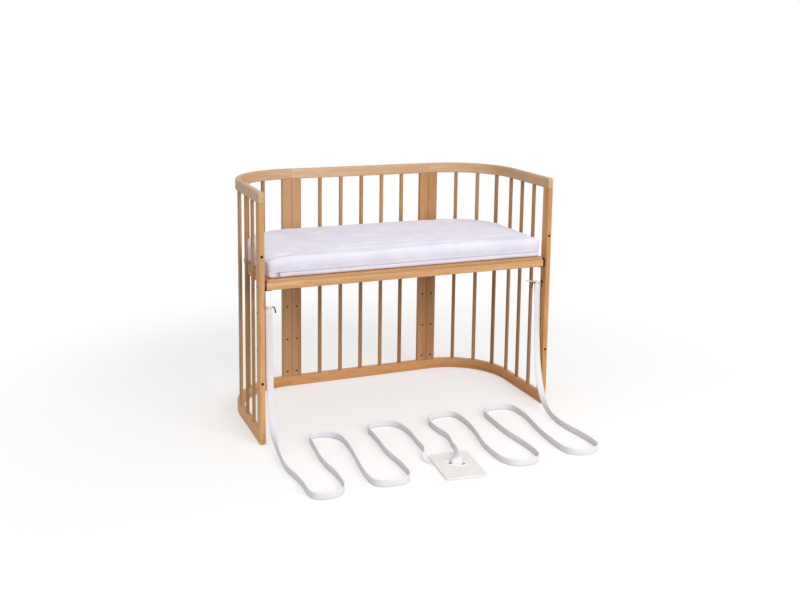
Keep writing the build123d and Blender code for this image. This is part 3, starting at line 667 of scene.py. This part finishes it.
def mattressForm(m):
    bm = bmesh.new()
    bm.faces.new([bm.verts.new(p) for p in (
        (-m["half"], m["front"], m["low"]), (m["half"], m["front"], m["low"]),
        (m["half"], m["back"], m["low"]), (-m["half"], m["back"], m["low"]))])
    bm.normal_update()
    corners = ((lambda y: y > 0, m["backCorner"], 18), (lambda y: y < 0, m["frontCorner"], 6))
    for pick, radius, cuts in corners:
        ends = [v for v in bm.verts if pick(v.co.y) and abs(abs(v.co.x) - m["half"]) < 1e-6
                and (abs(v.co.y - m["back"]) < 1e-6 or abs(v.co.y - m["front"]) < 1e-6)]
        bmesh.ops.bevel(bm, geom=ends, offset=radius, segments=cuts, profile=0.5, affect="VERTICES",
                        material=-1, offset_type="OFFSET")
    lift = bmesh.ops.extrude_face_region(bm, geom=bm.faces[:])
    raised = [v for v in lift["geom"] if isinstance(v, bmesh.types.BMVert)]
    bmesh.ops.translate(bm, vec=(0, 0, m["high"] - m["low"]), verts=raised)
    bmesh.ops.recalc_face_normals(bm, faces=bm.faces[:])
    for level, radius, cuts in ((m["high"], m["topRound"], 5), (m["low"], m["lowRound"], 3)):
        rim = [e for e in bm.edges if all(abs(v.co.z - level) < 1e-6 for v in e.verts)]
        bmesh.ops.bevel(bm, geom=rim, offset=radius, segments=cuts, profile=0.5, affect="EDGES", material=-1)
    return bm


def applied(piece, kinds):
    # the modifiers of the evaluated piece, made part of its mesh
    graph = bpy.context.evaluated_depsgraph_get()
    mesh = bpy.data.meshes.new_from_object(piece.evaluated_get(graph))
    for modifier in list(piece.modifiers):
        if modifier.type in kinds:
            piece.modifiers.remove(modifier)
    old = piece.data
    piece.data = mesh
    bpy.data.meshes.remove(old)


def swell(piece, m):
    remesh = piece.modifiers.new("remesh", "REMESH")
    remesh.mode = "VOXEL"
    remesh.voxel_size = m["voxel"]
    applied(piece, ("REMESH",))
    start = [v.co.copy() for v in piece.data.vertices]
    cloth = piece.modifiers.new("cloth", "CLOTH")
    cloth.settings.use_pressure = True
    cloth.settings.uniform_pressure_force = m["pressure"]
    cloth.settings.effector_weights.gravity = 0
    for setting, value in coverCloth.items():
        setattr(cloth.settings, setting, value)
    scene = bpy.context.scene
    cloth.point_cache.frame_start, cloth.point_cache.frame_end = 1, m["steps"]
    for step in range(1, m["steps"] + 1):
        scene.frame_set(step)
    applied(piece, ("CLOTH",))
    scene.frame_set(1)
    for v, origin in zip(piece.data.vertices, start):
        move = v.co - origin
        if move.length > m["cap"]:
            v.co = origin + move * (m["cap"] / move.length)


# creases and puckers of the cover: heights and reaches in metres
creases = {
    "sharpness": 5.5,        # of a ridge, and the height that counts as flat
    "flatLevel": 0.25,
    "longHeight": 0.0033,    # ridges that run with the mattress, stronger near the front edge
    "smallHeight": 0.0018,
    "frontAt": 0.045,
    "frontReach": 0.05,
    "frontDip": 0.0022,      # the top dips behind the front seam
    "backCalm": 0.08,        # towards the back the ridges fade out
    "cornerDip": 0.0085,     # by the left corner it dips further, and a fold runs in from there
    "cornerReach": (0.09, 0.07),
    "foldDepth": 0.0040,
    "foldStart": 0.028,
    "foldSlope": 0.30,
    "foldAt": 0.06,
    "foldReach": 0.085,
    "foldWidth": 0.011,
    "pucker": 0.0011,        # round the sides, above and below the zip
    "zipAt": 0.28,           # share of the height
    "zipReach": 0.16,
    "zipPullIn": 0.0032,
}


def ridge(place, c):
    # a thin line where a slow noise passes through its middle
    return max(0.0, 1 - abs(noise.noise(Vector(place))) * c["sharpness"]) - c["flatLevel"]


def bell(distance, reach):
    return math.exp(-(distance / reach) ** 2)


def rumple(piece, m, c):
    normals = [v.normal.copy() for v in piece.data.vertices]
    for v, normal in zip(piece.data.vertices, normals):
        x, y, z = v.co
        fromLeft, fromFront = x + m["half"], y - m["front"]
        flat = max(0.0, normal.z)
        side = max(0.0, 1 - abs(normal.z) * 1.4)
        nearFront = bell(fromFront - c["frontAt"], c["frontReach"])
        longRidge = ridge((x * 2.6 + y * 1.5, y * 15.0, 3.1), c)
        smallRidge = ridge((x * 7.0 + 4.0, y * 30.0 + x * 4.0, 7.7), c)
        calm = min(1.0, max(0.15, (m["back"] - y) / c["backCalm"]))
        rise = calm * (c["longHeight"] * (0.5 + 0.9 * nearFront) * longRidge + c["smallHeight"] * smallRidge)
        rise -= c["frontDip"] * nearFront
        rise -= c["cornerDip"] * bell(fromLeft, c["cornerReach"][0]) * bell(fromFront, c["cornerReach"][1])
        fromFold = fromFront - c["foldStart"] - c["foldSlope"] * fromLeft
        rise -= c["foldDepth"] * bell(fromLeft - c["foldAt"], c["foldReach"]) * bell(fromFold, c["foldWidth"])
        v.co.z += flat * rise
        pucker = noise.noise(Vector((x * 34.0, y * 34.0, z * 10.0)))
        pucker += 1.2 * noise.noise(Vector((x * 13.0, y * 13.0, z * 22.0)))
        tall = (z - m["low"]) / (m["high"] - m["low"])
        nearZip = bell(tall - c["zipAt"], c["zipReach"])
        push = c["pucker"] * pucker * (0.4 + nearZip) - c["zipPullIn"] * nearZip
        v.co += Vector((normal.x, normal.y, 0)) * side * push
        v.co.z = max(v.co.z, m["low"] - 0.0002)


def addMattress(m):
    bm = mattressForm(m)
    piece = addPiece("mattressCover", bm, cottonFinish, "mattress")
    swell(piece, m)
    piece.data.update()
    rumple(piece, m, creases)
    smooth = piece.modifiers.new("smooth", "SUBSURF")
    smooth.levels = smooth.render_levels = 1
    applied(piece, ("SUBSURF",))
    for face in piece.data.polygons:
        face.use_smooth = True
    if not piece.data.materials:
        piece.data.materials.append(cottonFinish)
    return piece


cover = addMattress(mattress)
print("mattress swollen and rumpled", len(cover.data.polygons))

# zip tape low on the front and the sides, with its coil, and the puller; the coil is drawn as a plain cord
zipFinish = webbingMaterial({**webbing, "colour": "#e9e6ee", "shade": "#cbc7d2"}, "wovenZipTape")
zipTape = {"z": 0.4985, "width": 0.006, "thickness": 0.0006, "endY": -0.165, "coil": 0.0011}


def outlineAt(piece, z, endY):
    bm = bmesh.new()
    bm.from_mesh(piece.data)
    cut = bmesh.ops.bisect_plane(bm, geom=bm.verts[:] + bm.edges[:] + bm.faces[:], plane_co=(0, 0, z),
                                 plane_no=(0, 0, 1))
    edges = [e for e in cut["geom_cut"] if isinstance(e, bmesh.types.BMEdge)]
    chain = {}
    for e in edges:
        for a, b in ((e.verts[0], e.verts[1]), (e.verts[1], e.verts[0])):
            chain.setdefault(a, []).append(b)
    start = min(chain, key=lambda v: (abs(v.co.x), v.co.y))
    line, last, here = [start.co.copy()], None, start
    while True:
        follow = [v for v in chain[here] if v is not last]
        if not follow or follow[0] is start:
            break
        last, here = here, follow[0]
        line.append(here.co.copy())
    bm.free()
    front = [p for p in line if p.y < endY]
    # start the run at one side's end
    jumps = [k for k in range(len(front)) if (front[k] - front[k - 1]).length > 0.05]
    if jumps:
        front = front[jumps[0]:] + front[:jumps[0]]
    return front


def evenly(line, step):
    kept = [line[0]]
    for p in line[1:]:
        if (p - kept[-1]).length >= step:
            kept.append(p)
    return kept


def addZip(piece, z):
    line = evenly(outlineAt(piece, z["z"], z["endY"]), 0.006)
    end = len(line) - 1
    smoothLine = [(line[max(k - 1, 0)] + p * 2 + line[min(k + 1, end)]) / 4 for k, p in enumerate(line)]
    frames, gone = [], 0
    for k, p in enumerate(smoothLine):
        a, b = smoothLine[max(k - 1, 0)], smoothLine[min(k + 1, len(smoothLine) - 1)]
        way = (b - a).normalized()
        if k:
            gone += (p - smoothLine[k - 1]).length
        out = way.cross(Vector((0, 0, 1)))
        if out.dot(Vector((p.x, p.y, 0))) < 0:
            out = -out
        frames.append((p + out * z["thickness"] * 0.6, way, Vector((0, 0, 1)), gone))
    tape = tubeMesh(frames, flatProfile(z["width"], z["thickness"]), "strapUV")
    strip = addPiece("zipTape", tape, zipFinish, "mattress")
    sides = 8
    ring = [(z["coil"] * math.cos(2 * math.pi * j / sides), z["coil"] * math.sin(2 * math.pi * j / sides))
            for j in range(sides)]
    coilBm = tubeMesh(frames, ring, "strapUV")
    coil = addPiece("zipCoil", coilBm, zipFinish, "mattress")
    return strip, coil


zipPieces = addZip(cover, zipTape)
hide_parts("mattress_cover", "mattress_core")
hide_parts("mattress_zip")
dress(["zip_puller"], zincSteel)
print("zip sewn")

# floor and light
paperFloor = {
    "colour": (0.60, 0.59, 0.58, 1),
    "glow": 0.47,
    "fadeFrom": 0.75,
    "fadeTo": 1.5,
    "below": 0.0004,         # a hair under the feet and the strap
    "shaded": (-0.002, -0.5485, 0.0),
    "shadedReach": 0.04,
}


def seenRays(tree):
    # 1 for the rays that the camera sees by, 0 for those that only carry light
    rays = addNode(tree, "ShaderNodeLightPath").outputs
    straight = addNode(tree, "ShaderNodeMath", {"operation": "MAXIMUM"},
                       {0: rays["Is Camera Ray"], 1: rays["Is Glossy Ray"]})
    return addNode(tree, "ShaderNodeMath", {"operation": "MAXIMUM"},
                   {0: straight.outputs[0], 1: rays["Is Transmission Ray"]}).outputs[0]


def addStage():
    bm = bmesh.new()
    bmesh.ops.create_grid(bm, x_segments=1, y_segments=1, size=floorSize / 2)
    bmesh.ops.translate(bm, vec=(0, 0, -paperFloor["below"]), verts=bm.verts[:])
    mesh = bpy.data.meshes.new("studioFloor")
    bm.to_mesh(mesh)
    bm.free()
    floor = bpy.data.objects.new("studioFloor", mesh)
    bpy.context.scene.collection.objects.link(floor)
    material = bpy.data.materials.new("whitePaperFloor")
    material.use_nodes = True
    tree = material.node_tree
    tree.nodes.clear()
    # seen by the camera the paper glows, so that it reads as white but keeps the shadows near the crib
    seen = seenRays(tree)
    paper = addNode(tree, "ShaderNodeBsdfDiffuse", {"Color": paperFloor["colour"]})
    place = addNode(tree, "ShaderNodeTexCoord").outputs["Object"]
    # no glow under the anchor plate, so that its slot stays dark
    fromPlate = addNode(tree, "ShaderNodeVectorMath", {"operation": "DISTANCE", 1: paperFloor["shaded"]},
                        {0: place})
    clear = addNode(tree, "ShaderNodeMath", {"operation": "GREATER_THAN", 1: paperFloor["shadedReach"]},
                    {0: fromPlate.outputs["Value"]})
    glowPower = addNode(tree, "ShaderNodeMath", {"operation": "MULTIPLY", 1: paperFloor["glow"]}, {0: seen})
    glowPower = addNode(tree, "ShaderNodeMath", {"operation": "MULTIPLY"},
                        {0: glowPower.outputs[0], 1: clear.outputs[0]})
    glow = addNode(tree, "ShaderNodeEmission", {"Color": (1, 1, 1, 1)}, {"Strength": glowPower.outputs[0]})
    near = addNode(tree, "ShaderNodeAddShader", {}, {0: paper.outputs[0], 1: glow.outputs[0]})
    white = addNode(tree, "ShaderNodeEmission", {"Color": (1, 1, 1, 1)}, {"Strength": seen})
    reach = addNode(tree, "ShaderNodeVectorMath", {"operation": "LENGTH"}, {0: place})
    fade = addNode(tree, "ShaderNodeMapRange",
                   {"interpolation_type": "SMOOTHSTEP", "From Min": paperFloor["fadeFrom"],
                    "From Max": paperFloor["fadeTo"]}, {"Value": reach.outputs["Value"]})
    both = addNode(tree, "ShaderNodeMixShader", {},
                   {0: fade.outputs[0], 1: near.outputs[0], 2: white.outputs[0]})
    addNode(tree, "ShaderNodeOutputMaterial", {}, {"Surface": both.outputs[0]})
    mesh.materials.append(material)


addStage()

studio = {"worldLight": 0.56}
lamps = [
    # name, place, aim, size, power
    ("keySoftbox", (0.9, -3.4, 2.0), (0, 0, 0.4), 2.2, 77),
    ("fillSoftbox", (-3.0, -2.0, 1.6), (0, 0, 0.4), 2.4, 14),
    ("topSoftbox", (0.2, 0.3, 3.2), (0, 0, 0), 2.6, 7),
]


def addLight(name, place, aim, size, power):
    data = bpy.data.lights.new(name, "AREA")
    data.shape = "SQUARE"
    data.size = size
    data.energy = power
    lamp = bpy.data.objects.new(name, data)
    lamp.location = place
    lamp.rotation_euler = (Vector(aim) - Vector(place)).to_track_quat("-Z", "Y").to_euler()
    bpy.context.scene.collection.objects.link(lamp)


for lampSettings in lamps:
    addLight(*lampSettings)

world = bpy.data.worlds.new("studioWorld")
bpy.context.scene.world = world
world.use_nodes = True
world.node_tree.nodes.clear()
worldPower = addNode(world.node_tree, "ShaderNodeMapRange",
                     {"To Min": studio["worldLight"], "To Max": 1.0}, {"Value": seenRays(world.node_tree)})
worldGlow = addNode(world.node_tree, "ShaderNodeBackground", {"Color": (1, 1, 1, 1)},
                    {"Strength": worldPower.outputs[0]})
addNode(world.node_tree, "ShaderNodeOutputWorld", {}, {"Surface": worldGlow.outputs[0]})
bpy.context.scene.view_settings.view_transform = "Standard"
print("stage lit")
